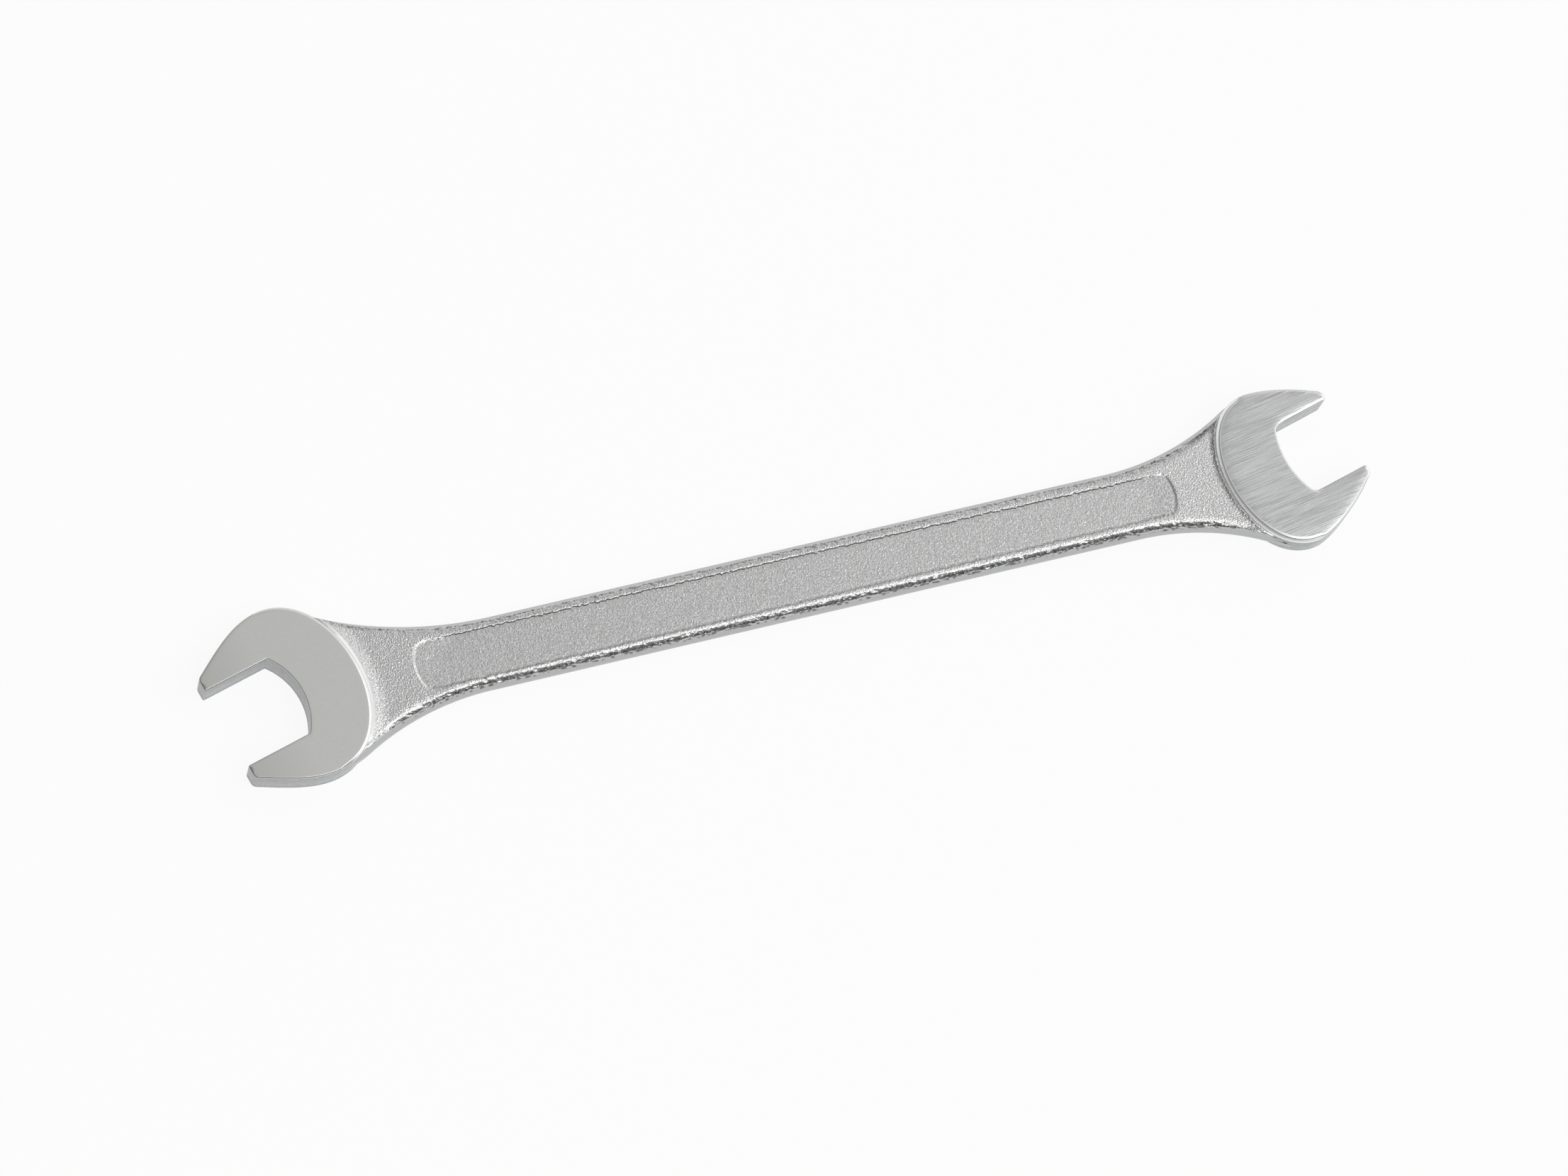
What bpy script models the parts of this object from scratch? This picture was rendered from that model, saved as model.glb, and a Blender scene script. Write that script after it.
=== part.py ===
"""Double open end wrench for 10 mm and 11 mm hexagons, drop forged in one piece and chrome plated.

The wrench lies flat on the XY plane. +X runs along the shank to the small jaw and +Z is up through
the thickness. The origin is at the middle of the wrench's box, on the surface that it lies on.
Lengths are in metres and angles are in degrees.
"""

import math
from dataclasses import dataclass

import bmesh
import bpy
from mathutils import Matrix, Vector
from mathutils.geometry import interpolate_bezier

# Whole wrench
OVERALL_LENGTH = 0.156
HEAD_THICKNESS = 0.0047
JAW_ANGLE = 15.0

# Shank
SHANK_WIDTH = 0.0094
SHANK_THICKNESS = 0.0030
CREASE_THICKNESS = 0.0025
SIDE_LAND_HEIGHT = 0.0006
CREASE_INSET = 0.0007
CROWN_INSET = 0.0012

# Panels, one in each face of the shank
PANEL_DEPTH = 0.00015
PANEL_LARGE_END_WIDTH = 0.0064
PANEL_SMALL_END_WIDTH = 0.0056
PANEL_END_RADIUS = 0.0050
PANEL_CORNER_RADIUS = 0.0005
PANEL_TO_LARGE_HEAD = 0.0168
PANEL_TO_SMALL_HEAD = 0.0148

# Large head, for an 11 mm hexagon. Its centre is where the jaw's middle line crosses the shank's.
LARGE_OPENING = 0.0111
LARGE_THROAT_RADIUS = 0.0091
LARGE_THROAT_CORNER_RADIUS = 0.0003
LARGE_THROAT_SETBACK = -0.00184
LARGE_JAW_REACH = 0.00905
LARGE_TIP_WIDTH = 0.0147
LARGE_TIP_INNER_RADIUS = 0.00025
LARGE_TIP_OUTER_RADIUS = 0.0009
LARGE_EAR_ANGLE = 31.0
LARGE_HEAD_WIDTH = 0.0233
LARGE_WIDEST_SETBACK = -0.0014
LARGE_HEAD_BACK = 0.00985
LARGE_EDGE_RADIUS = 0.0002
LARGE_NECK_UPPER_RADIUS = 0.050
LARGE_NECK_LOWER_RADIUS = 0.036
LARGE_ROOT_UPPER_FLARE = 0.0001
LARGE_ROOT_LOWER_FLARE = 0.0050
LARGE_FILLET_WIDTH = 0.0024
LARGE_FILLET_HEIGHT = 0.00045

# Small head, for a 10 mm hexagon
SMALL_OPENING = 0.0101
SMALL_THROAT_RADIUS = 0.0120
SMALL_THROAT_CORNER_RADIUS = 0.0010
SMALL_THROAT_SETBACK = 0.0009
SMALL_JAW_REACH = 0.01005
SMALL_TIP_WIDTH = 0.0125
SMALL_TIP_INNER_RADIUS = 0.00045
SMALL_TIP_OUTER_RADIUS = 0.0012
SMALL_EAR_ANGLE = 38.0
SMALL_HEAD_WIDTH = 0.0218
SMALL_WIDEST_SETBACK = -0.0002
SMALL_HEAD_BACK = 0.0077
SMALL_EDGE_RADIUS = 0.0004
SMALL_NECK_UPPER_RADIUS = 0.035
SMALL_NECK_LOWER_RADIUS = 0.035
SMALL_ROOT_UPPER_FLARE = 0.0024
SMALL_ROOT_LOWER_FLARE = 0.0003
SMALL_FILLET_WIDTH = 0.0011
SMALL_FILLET_HEIGHT = 0.00035

# How far from a head the sides and the cross lines blend into it, and how the bar sinks into it
SIDE_BLEND_LENGTH = 0.0050
STATION_BLEND_LENGTH = 0.0100
ROOT_SINK = 0.00015
ROOT_LENGTH = 0.0050
ROOT_TURN = 35.0
BAR_SINK = 0.0020
EDGE_CLEARANCE = 0.0001
CUT_OVERRUN = 0.0010

# Handles of the two curves of a head's flank, as shares of its own sizes: the ear's at the tip and
# at the widest point, then the back's at the widest point and on the jaw's axis
LARGE_HANDLE_SHARES = (0.42, 0.30, 0.63, 0.52)
SMALL_HANDLE_SHARES = (0.34, 0.21, 0.58, 0.56)

# Where on the back curve, between the head's widest point and its neck, the bar's side comes out
ROOT_SHARE = 0.15

# Where the bar's cross lines lie: over the fillet, over the rest of the side's blend, and on the neck
FILLET_ROW_SHARES = (0.15, 0.3, 0.5, 0.75, 1.0)
SIDE_ROW_SHARES = (0.3, 0.65, 1.0)
NECK_ROW_SHARES = (0.14, 0.28, 0.42, 0.56, 0.7, 0.85, 1.0)

# Into how many straight pieces each curve is divided. The panel's end takes an odd number, so that
# no corner of it falls on the bar's middle line.
ARC_STEPS = 12
BACK_STEPS = 24
THROAT_STEPS = 16
CORNER_STEPS = 4
QUARTER_STEPS = 3
FACE_STEPS = 10
PANEL_END_STEPS = 11

# How often a search halves its range, to a few millionths of a millimetre
HALVINGS = 30

# Edges steeper than these get a rounded rim, or a crisp line where two faces meet
RIM_ANGLE = 60.0
SHARP_ANGLE = 35.0

# Satin chrome plate
STEEL_COLOUR = (0.70, 0.70, 0.69, 1.0)
STEEL_ROUGHNESS = 0.3


def arc(centre, radius, start, end, steps):
    """Points on a circle from one angle to another, in radians, both ends included."""
    turns = [start + (end - start) * i / steps for i in range(steps + 1)]
    return [centre + Vector((math.cos(a), math.sin(a))) * radius for a in turns]


@dataclass
class Head:
    """One end of the wrench. Its own u axis runs out of the jaw and its v axis across the opening.

    The neck radii and the root flares are given for its two sides, +v and -v. The heading is the
    end of the shank that it stands at, and the turn is that of its u axis.
    """

    heading: int
    turn: float
    opening: float
    throat_radius: float
    throat_corner_radius: float
    throat_setback: float
    jaw_reach: float
    tip_width: float
    tip_inner_radius: float
    tip_outer_radius: float
    ear_angle: float
    head_width: float
    widest_setback: float
    head_back: float
    edge_radius: float
    neck_radii: dict
    root_flares: dict
    fillet_width: float
    fillet_height: float
    handle_shares: tuple
    centre_x: float = 0.0

    def turned(self, direction):
        """A direction of the jaw's own frame, as it lies on the wrench."""
        return Matrix.Rotation(math.radians(self.turn), 2) @ direction

    def to_wrench(self, point):
        """A point of the jaw's own frame, placed on the shank's axis at the head's centre."""
        return self.turned(point) + Vector((self.centre_x, 0.0))

    def jaw_half(self):
        """From the middle of the throat along one flat to the rounded tip, on the +v side."""
        half = self.opening / 2
        throat_centre = Vector((self.throat_setback + self.throat_radius, 0.0))
        corner = self.throat_corner_radius
        reach = self.throat_radius - corner
        rise = half - corner
        corner_centre = Vector((throat_centre.x - math.sqrt(reach * reach - rise * rise), rise))
        meet = math.pi - math.asin(rise / reach)
        points = arc(throat_centre, self.throat_radius, math.pi, meet, THROAT_STEPS)
        points += arc(corner_centre, corner, meet, math.pi / 2, CORNER_STEPS)[1:]
        inner = self.tip_inner_radius
        inner_centre = Vector((self.jaw_reach - inner, half + inner))
        points += arc(inner_centre, inner, -math.pi / 2, 0.0, CORNER_STEPS)
        return points

    def flank(self):
        """The tip's outer corner and the ear's curve, out to the widest point of the head."""
        slope = math.radians(self.ear_angle)
        turn = math.pi / 2 - slope
        outer = self.tip_outer_radius
        cut = outer * math.tan(turn / 2)
        tip = Vector((self.jaw_reach, self.tip_width / 2))
        along = Vector((-math.cos(slope), math.sin(slope)))
        corner = arc(tip + Vector((-outer, -cut)), outer, 0.0, turn, CORNER_STEPS)
        start = tip + along * cut
        widest = self.widest_point()
        reach = (widest - start).length
        first = start + along * reach * self.handle_shares[0]
        second = widest + Vector((reach * self.handle_shares[1], 0.0))
        ear = [Vector(p) for p in interpolate_bezier(start, first, second, widest, ARC_STEPS)]
        return corner + ear[1:]

    def widest_point(self):
        return Vector((self.widest_setback, self.head_width / 2))

    def back(self, share, flare=0.0):
        """A point and its direction on the curve from the widest point to the back of the head.

        The flare carries the curve further back, where the forging swells into a neck's root.
        """
        start = self.widest_point()
        end = Vector((-self.head_back - flare, 0.0))
        run = start.x - end.x
        first = start - Vector((run * self.handle_shares[2], 0.0))
        second = end + Vector((0.0, start.y * self.handle_shares[3]))
        near = start.lerp(first, share).lerp(first.lerp(second, share), share)
        far = first.lerp(second, share).lerp(second.lerp(end, share), share)
        return near.lerp(far, share), (far - near).normalized()

    def neck_touch(self, side):
        """Where a neck's arc, tangent to the shank's side, touches the back curve on one side."""
        radius = self.neck_radii[side]
        low = 0.0
        high = 1.0
        for _ in range(HALVINGS):
            middle = (low + high) / 2
            point, ahead = self.back(middle, self.root_flares[side])
            point = self.to_wrench(Vector((point.x, point.y * side)))
            ahead = self.turned(Vector((ahead.x, ahead.y * side)))
            upper = math.copysign(1.0, point.y)
            lean = math.atan2(-ahead.y * upper, abs(ahead.x))
            if abs(point.y) - SHANK_WIDTH / 2 > radius * (1 - math.cos(lean)) or lean < 0:
                low = middle
            else:
                high = middle
        return middle, point, lean

    def neck(self, upper):
        """The same above the shank's axis or below it, with the side of the head that lies there."""
        for side in (1, -1):
            share, touch, lean = self.neck_touch(side)
            if touch.y * upper > 0:
                return side, share, touch, lean
        return None

    def neck_arc(self, upper):
        """A neck's arc from the shank out to the head, its last point left out."""
        side, _, touch, lean = self.neck(upper)
        radius = self.neck_radii[side]
        start = touch.x - self.heading * radius * math.sin(lean)
        points = []
        for i in range(ARC_STEPS):
            turn = lean * i / ARC_STEPS
            rise = SHANK_WIDTH / 2 + radius * (1 - math.cos(turn))
            points.append(Vector((start + self.heading * radius * math.sin(turn), upper * rise)))
        return points

    def outline(self):
        """The whole head as a closed line, clockwise in its own frame, placed on the wrench."""
        steps = BACK_STEPS
        back = [self.back(i / steps)[0] for i in range(1, steps + 1)]
        half = self.jaw_half() + self.flank() + back
        mirrored = [Vector((p.x, -p.y)) for p in half[1:-1]]
        return [self.to_wrench(p) for p in half[::-1] + mirrored]

    def root(self, upper):
        """One side of the bar from inside the head to where its neck's arc leaves the head."""
        side, last, _, _ = self.neck(upper)
        points = []
        for i in range(ARC_STEPS + 1):
            rise = i / ARC_STEPS
            share = last * (ROOT_SHARE + (1 - ROOT_SHARE) * rise)
            flared, ahead = self.back(share, self.root_flares[side])
            outward = Vector((ahead.y, -ahead.x))
            point = self.back(share)[0].lerp(flared, rise) - outward * ROOT_SINK * (1 - rise) ** 2
            if i == 0:
                inward = Matrix.Rotation(math.radians(-ROOT_TURN), 2) @ -ahead
                points.append(point + inward * ROOT_LENGTH)
            points.append(point)
        return [self.to_wrench(Vector((p.x, p.y * side))) for p in points]

    def boss_line(self, away):
        """The boss's foot moved out by this much, from the upper side of the wrench to the lower.

        It follows the back of the head between its widest points and runs on straight past them.
        """
        out = []
        for side in (1, -1):
            branch = []
            for i in range(BACK_STEPS + 1):
                point, ahead = self.back(i / BACK_STEPS)
                point = Vector((point.x, point.y * side))
                ahead = Vector((ahead.x, ahead.y * side))
                outward = Vector((ahead.y, -ahead.x)) * side
                branch.append(point + outward * away)
                if i == 0:
                    branch.insert(0, branch[0] - ahead * self.head_width / 2)
            out = branch if side > 0 else out + list(reversed(branch))[1:]
        placed = [self.to_wrench(p) for p in out]
        if placed[0].y < placed[-1].y:
            placed.reverse()
        apex = max(p.x * -self.heading for p in placed) * -self.heading
        fade = min(max(away / (SIDE_BLEND_LENGTH + STATION_BLEND_LENGTH), 0.0), 1.0)
        return [Vector((p.x + (apex - p.x) * fade, p.y)) for p in placed]


LARGE = Head(
    heading=-1,
    turn=180.0 + JAW_ANGLE,
    opening=LARGE_OPENING,
    throat_radius=LARGE_THROAT_RADIUS,
    throat_corner_radius=LARGE_THROAT_CORNER_RADIUS,
    throat_setback=LARGE_THROAT_SETBACK,
    jaw_reach=LARGE_JAW_REACH,
    tip_width=LARGE_TIP_WIDTH,
    tip_inner_radius=LARGE_TIP_INNER_RADIUS,
    tip_outer_radius=LARGE_TIP_OUTER_RADIUS,
    ear_angle=LARGE_EAR_ANGLE,
    head_width=LARGE_HEAD_WIDTH,
    widest_setback=LARGE_WIDEST_SETBACK,
    head_back=LARGE_HEAD_BACK,
    edge_radius=LARGE_EDGE_RADIUS,
    neck_radii={1: LARGE_NECK_LOWER_RADIUS, -1: LARGE_NECK_UPPER_RADIUS},
    root_flares={1: LARGE_ROOT_LOWER_FLARE, -1: LARGE_ROOT_UPPER_FLARE},
    fillet_width=LARGE_FILLET_WIDTH,
    fillet_height=LARGE_FILLET_HEIGHT,
    handle_shares=LARGE_HANDLE_SHARES,
)
SMALL = Head(
    heading=1,
    turn=JAW_ANGLE,
    opening=SMALL_OPENING,
    throat_radius=SMALL_THROAT_RADIUS,
    throat_corner_radius=SMALL_THROAT_CORNER_RADIUS,
    throat_setback=SMALL_THROAT_SETBACK,
    jaw_reach=SMALL_JAW_REACH,
    tip_width=SMALL_TIP_WIDTH,
    tip_inner_radius=SMALL_TIP_INNER_RADIUS,
    tip_outer_radius=SMALL_TIP_OUTER_RADIUS,
    ear_angle=SMALL_EAR_ANGLE,
    head_width=SMALL_HEAD_WIDTH,
    widest_setback=SMALL_WIDEST_SETBACK,
    head_back=SMALL_HEAD_BACK,
    edge_radius=SMALL_EDGE_RADIUS,
    neck_radii={1: SMALL_NECK_UPPER_RADIUS, -1: SMALL_NECK_LOWER_RADIUS},
    root_flares={1: SMALL_ROOT_UPPER_FLARE, -1: SMALL_ROOT_LOWER_FLARE},
    fillet_width=SMALL_FILLET_WIDTH,
    fillet_height=SMALL_FILLET_HEIGHT,
    handle_shares=SMALL_HANDLE_SHARES,
)


def place_heads():
    """Set the heads apart so that their tips span the overall length."""
    for head in (LARGE, SMALL):
        tips = [p.x * head.heading for p in head.outline()]
        head.centre_x = head.heading * (OVERALL_LENGTH / 2 - max(tips))


def bar_outline():
    """The bar between the heads, as a closed line, anticlockwise as seen from above."""
    below = LARGE.root(-1) + LARGE.neck_arc(-1)[::-1] + SMALL.neck_arc(-1) + SMALL.root(-1)[::-1]
    above = LARGE.root(1) + LARGE.neck_arc(1)[::-1] + SMALL.neck_arc(1) + SMALL.root(1)[::-1]
    return below + above[::-1]


def depth_inside(point, outline):
    """How far a point lies inside the outline; it's negative outside."""
    nearest = None
    for start, end in zip(outline, outline[1:] + outline[:1]):
        run = end - start
        share = min(max((point - start).dot(run) / run.length_squared, 0.0), 1.0)
        gap = point - start - run * share
        if nearest is None or gap.length_squared < nearest[0]:
            nearest = (gap.length_squared, run.x * gap.y - run.y * gap.x)
    return math.copysign(math.sqrt(nearest[0]), nearest[1])


def point_along(line, length):
    """The point at this length along a line of points."""
    for start, end in zip(line, line[1:]):
        step = (end - start).length
        if length <= step:
            return start + (end - start) * length / step
        length -= step
    return line[-1]


def length_to_depth(line, depth, outline):
    """How far along a line, from its inner end, the outline's side is this near."""
    low = 0.0
    high = sum((b - a).length for a, b in zip(line, line[1:]))
    for _ in range(HALVINGS):
        middle = (low + high) / 2
        if depth_inside(point_along(line, middle), outline) > depth:
            low = middle
        else:
            high = middle
    return middle


def make_object(name, mesh):
    item = bpy.data.objects.new(name, mesh)
    bpy.context.collection.objects.link(item)
    return item


def make_head(head, name):
    """A head as an extruded outline with its rims rounded all round."""
    bm = bmesh.new()
    outline = head.outline()
    below = [bm.verts.new((p.x, p.y, -HEAD_THICKNESS / 2)) for p in outline]
    base = bm.faces.new(below)
    grown = bmesh.ops.extrude_face_region(bm, geom=[base])
    raised = [v for v in grown["geom"] if isinstance(v, bmesh.types.BMVert)]
    bmesh.ops.translate(bm, verts=raised, vec=(0.0, 0.0, HEAD_THICKNESS))
    bmesh.ops.recalc_face_normals(bm, faces=bm.faces)
    mesh = bpy.data.meshes.new(name)
    bm.to_mesh(mesh)
    bm.free()
    mesh.shade_smooth()
    item = make_object(name, mesh)
    rims = item.modifiers.new("rounded_rims", "BEVEL")
    rims.limit_method = "ANGLE"
    rims.angle_limit = math.radians(RIM_ANGLE)
    rims.width = head.edge_radius
    rims.segments = QUARTER_STEPS
    rims.use_clamp_overlap = False
    return item


def section_columns():
    """Across the bar from a side inwards: inset from the side, height and which blend it takes."""
    crown = SHANK_THICKNESS / 2
    crease = CREASE_THICKNESS / 2
    land = SIDE_LAND_HEIGHT / 2
    side = []
    for i in range(QUARTER_STEPS + 1):
        turn = math.radians(90 * i / QUARTER_STEPS)
        inset = CREASE_INSET * (1 - math.cos(turn))
        side.append((inset, land + (crease - land) * math.sin(turn), "side"))
    return side + [(CROWN_INSET, crown, "face")]


def stations():
    """Lines across the bar, from the large head to the small one: the head and how far off it is."""
    out = []
    for head in (LARGE, SMALL):
        width = head.fillet_width
        reach = SIDE_BLEND_LENGTH
        rows = [-BAR_SINK, -head.edge_radius]
        rows += [width * share for share in FILLET_ROW_SHARES]
        rows += [width + (reach - width) * share for share in SIDE_ROW_SHARES]
        rows += [reach + STATION_BLEND_LENGTH * share for share in NECK_ROW_SHARES]
        rows = [(head, away) for away in rows]
        out += rows if head is LARGE else rows[::-1]
    return out


def station_points(head, away, outline):
    """The section's columns on one station, as points with their insets' heights and kinds."""
    line = head.boss_line(away)
    above = [p for p in line if p.y > 0]
    below = [p for p in line if p.y <= 0]
    middle = above[-1].lerp(below[0], above[-1].y / (above[-1].y - below[0].y))
    sides = section_columns()
    branches = []
    for branch in ([middle] + list(reversed(above)), [middle] + below):
        lengths = [length_to_depth(branch, inset, outline) for inset, _, _ in sides]
        branches.append((branch, lengths))
    columns = []
    for branch, lengths in branches:
        placed = [(point_along(branch, n), s[1], s[2]) for n, s in zip(lengths, sides)]
        inner = lengths[-1]
        for i in range(1, FACE_STEPS):
            share = 1 - i / FACE_STEPS
            placed.append((point_along(branch, inner * share), SHANK_THICKNESS / 2, "face"))
        columns.append(placed)
    return columns[0] + [(middle, SHANK_THICKNESS / 2, "face")] + list(reversed(columns[1]))


def make_bar():
    """The bar: lofted from one head to the other along the stations, and sunk into both heads."""
    bm = bmesh.new()
    outline = bar_outline()
    rows = []
    top = HEAD_THICKNESS / 2
    for head, away in stations():
        ring = []
        for point, height, kind in station_points(head, away, outline):
            if kind == "side":
                blend = max(1 - max(away, 0.0) / SIDE_BLEND_LENGTH, 0.0) ** 2
                goal = top - head.edge_radius - EDGE_CLEARANCE
            else:
                blend = max(1 - max(away, -head.edge_radius) / head.fillet_width, 0.0) ** 2
                goal = height + head.fillet_height
            ring.append((point.x, point.y, height + (goal - height) * blend))
        rows.append([[bm.verts.new((x, y, z * half)) for x, y, z in ring] for half in (1, -1)])
    for near, far in zip(rows, rows[1:]):
        for half in (0, 1):
            for i in range(len(near[half]) - 1):
                bm.faces.new((near[half][i], near[half][i + 1], far[half][i + 1], far[half][i]))
        for i in (0, -1):
            bm.faces.new((near[0][i], far[0][i], far[1][i], near[1][i]))
    for above, beneath in (rows[0], rows[-1]):
        for i in range(len(above) - 1):
            bm.faces.new((above[i], above[i + 1], beneath[i + 1], beneath[i]))
    bmesh.ops.recalc_face_normals(bm, faces=bm.faces)
    mesh = bpy.data.meshes.new("wrench_forging")
    bm.to_mesh(mesh)
    bm.free()
    return make_object("wrench_forging", mesh)


def make_panel_cutter(face, name):
    """One panel's recess: long straight sides that taper to the small head, and arched ends."""
    left = LARGE.centre_x + PANEL_TO_LARGE_HEAD
    right = SMALL.centre_x - PANEL_TO_SMALL_HEAD
    outline = []
    for x, width, heading in (
        (right, PANEL_SMALL_END_WIDTH, 1),
        (left, PANEL_LARGE_END_WIDTH, -1),
    ):
        corner = PANEL_CORNER_RADIUS
        rise = width / 2 - corner
        reach = PANEL_END_RADIUS - corner
        run = math.sqrt(reach * reach - rise * rise)
        turn = math.asin(rise / reach)
        centre = Vector((-PANEL_END_RADIUS, 0.0))
        end = arc(Vector((run - PANEL_END_RADIUS, -rise)), corner, -math.pi / 2, -turn, CORNER_STEPS)
        end += arc(centre, PANEL_END_RADIUS, -turn, turn, PANEL_END_STEPS)[1:-1]
        end += arc(Vector((run - PANEL_END_RADIUS, rise)), corner, turn, math.pi / 2, CORNER_STEPS)
        outline += [Vector((x + heading * p.x, heading * p.y)) for p in end]
    bm = bmesh.new()
    floor = SHANK_THICKNESS / 2 - PANEL_DEPTH
    base = bm.faces.new([bm.verts.new((p.x, p.y, floor * face)) for p in outline])
    grown = bmesh.ops.extrude_face_region(bm, geom=[base])
    raised = [v for v in grown["geom"] if isinstance(v, bmesh.types.BMVert)]
    bmesh.ops.translate(bm, verts=raised, vec=(0.0, 0.0, (PANEL_DEPTH + CUT_OVERRUN) * face))
    bmesh.ops.recalc_face_normals(bm, faces=bm.faces)
    mesh = bpy.data.meshes.new(name)
    bm.to_mesh(mesh)
    bm.free()
    return make_object(name, mesh)


def combine(target, tool, operation):
    """Join a tool to the target or cut it away, and leave it out of the render."""
    tool.hide_render = True
    tool.display_type = "WIRE"
    tool.parent = target
    step = target.modifiers.new(tool.name, "BOOLEAN")
    step.operation = operation
    step.solver = "EXACT"
    step.object = tool


def chrome_plate(item):
    steel = bpy.data.materials.new("satin_chrome_plate")
    steel.use_nodes = True
    shader = steel.node_tree.nodes["Principled BSDF"]
    shader.inputs["Base Color"].default_value = STEEL_COLOUR
    shader.inputs["Metallic"].default_value = 1.0
    shader.inputs["Roughness"].default_value = STEEL_ROUGHNESS
    item.data.materials.append(steel)


for old in list(bpy.data.objects):
    bpy.data.objects.remove(old)

place_heads()
forging = make_bar()
combine(forging, make_head(LARGE, "large_head"), "UNION")
combine(forging, make_head(SMALL, "small_head"), "UNION")
combine(forging, make_panel_cutter(1, "upper_panel_cutter"), "DIFFERENCE")
combine(forging, make_panel_cutter(-1, "lower_panel_cutter"), "DIFFERENCE")
chrome_plate(forging)
forging.data.shade_smooth()
forging.data.set_sharp_from_angle(angle=math.radians(SHARP_ANGLE))
even = forging.modifiers.new("even_shading", "WEIGHTED_NORMAL")
even.keep_sharp = True
across = [p.y for p in LARGE.outline() + SMALL.outline()]
middle_y = (max(across) + min(across)) / 2
forging.location = (0.0, -middle_y, HEAD_THICKNESS / 2)
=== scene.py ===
import math

import bpy
import numpy as np
from mathutils import Matrix, Vector, noise
from mathutils.geometry import delaunay_2d_cdt


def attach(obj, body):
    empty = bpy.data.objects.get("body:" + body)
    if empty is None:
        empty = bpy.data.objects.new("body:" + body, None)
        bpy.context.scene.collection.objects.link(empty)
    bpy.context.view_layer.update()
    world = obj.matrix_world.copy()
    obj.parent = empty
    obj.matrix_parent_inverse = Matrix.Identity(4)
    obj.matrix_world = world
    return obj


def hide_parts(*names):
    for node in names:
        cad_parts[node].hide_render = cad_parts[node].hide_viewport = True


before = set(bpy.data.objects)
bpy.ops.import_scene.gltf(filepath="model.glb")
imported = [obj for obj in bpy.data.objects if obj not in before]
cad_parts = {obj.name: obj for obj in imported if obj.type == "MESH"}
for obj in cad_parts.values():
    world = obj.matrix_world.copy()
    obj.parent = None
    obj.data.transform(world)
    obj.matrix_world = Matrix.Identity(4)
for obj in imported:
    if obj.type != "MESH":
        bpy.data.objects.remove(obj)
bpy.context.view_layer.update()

# Large head
# The 11 mm jaw is one end of the drop forging: trimmed to its outline, ground flat on both faces
# and broached out to a throat with two parallel flats. Its rims are lightly broken, more so on the
# neck side. The plate over it is a plain satin chrome, a shade darker and warmer at the tips.
HEAD_THICKNESS = 0.0047
JAW_ANGLE = 15.0
SHANK_AXIS_Y = -0.00032171
THROAT_STEPS = 40
CORNER_STEPS = 8
CURVE_STEPS = 70
FLAT_STEPS = 36
RIM_TURNS = (25.0, 42.0, 56.0, 70.0, 90.0)
BEVEL_SHARES = (0.3, 0.6, 0.85, 1.0, 1.15, 1.35)
RIM_EVENING = 6
RING_STEP = 0.0002
RING_COUNT = 5
THINNEST_RING = 0.00001
RING_SLACK = 0.97
SOFTEST_SHARE = 0.25
FACE_SPACING = 0.0006
MERGE_DISTANCE = 1e-8
MEASURED_AT_ONCE = 4000
LEVEL_FADE = 0.0002
TIP_FROM = 0.001
TIP_FADE = 0.009
PLAIN_BEVEL = 0.0002
BEVEL_HIGHLIGHT_FADE = 0.0002
GROUND_PIT_DEPTH = 0.000004
WALL_PIT_DEPTH = 0.00002
LARGE = {
    "centre": -0.06745718,
    "turn": 180.0 + JAW_ANGLE,
    "heading": -1,
    "opening": 0.0111,
    "throat": 0.0091,
    "throat_corner": 0.0003,
    "throat_at": -0.00184,
    "reach": 0.00905,
    "tip_width": 0.0147,
    "tip_inner": 0.00025,
    "tip_outer": 0.0009,
    "ear_angle": 31.0,
    "widest": (-0.0014, 0.0233),
    "back": 0.00985,
    "handle_shares": (0.42, 0.30, 0.63, 0.52),
    "rims": {"throat": 0.00006, "flat": 0.00006, "tip": 0.00006, "ear": 0.00010, "back": 0.00010},
    "bevels": {"throat": 0.00012, "flat": 0.00014, "tip": 0.00014, "ear": 0.00018, "back": 0.00036},
    "bevel_slope": 0.80,
    "bevel_softness": 0.00002,
    "rolls": {"throat": 0.0, "flat": 0.0, "tip": 0.00001, "ear": 0.00001, "back": 0.00001},
    "roll_widths": {"throat": 0.0008, "flat": 0.0008, "tip": 0.0008, "ear": 0.0008, "back": 0.0008},
}


def arc_points(centre, radius, start, end, steps):
    """Points on a circle from one angle to another, in degrees."""
    turns = np.radians(np.linspace(start, end, steps + 1))
    return np.stack([centre[0] + radius * np.cos(turns), centre[1] + radius * np.sin(turns)], 1)


def curve_points(start, first, second, end, steps):
    """A smooth curve from one point to another, drawn towards two handles on the way."""
    share = np.linspace(0.0, 1.0, steps + 1)[:, None]
    rest = 1 - share
    near = start * rest**3 + first * 3 * share * rest**2
    return near + second * 3 * share**2 * rest + end * share**3


def back_ends(head, flare=0.0):
    """The back curve's two ends and two handles, from the widest point to the jaw's middle line."""
    widest = np.array((head["widest"][0], head["widest"][1] / 2))
    end = np.array((-head["back"] - flare, 0.0))
    run = widest[0] - end[0]
    first = widest - (run * head["handle_shares"][2], 0.0)
    second = end + (0.0, widest[1] * head["handle_shares"][3])
    return widest, first, second, end


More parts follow.
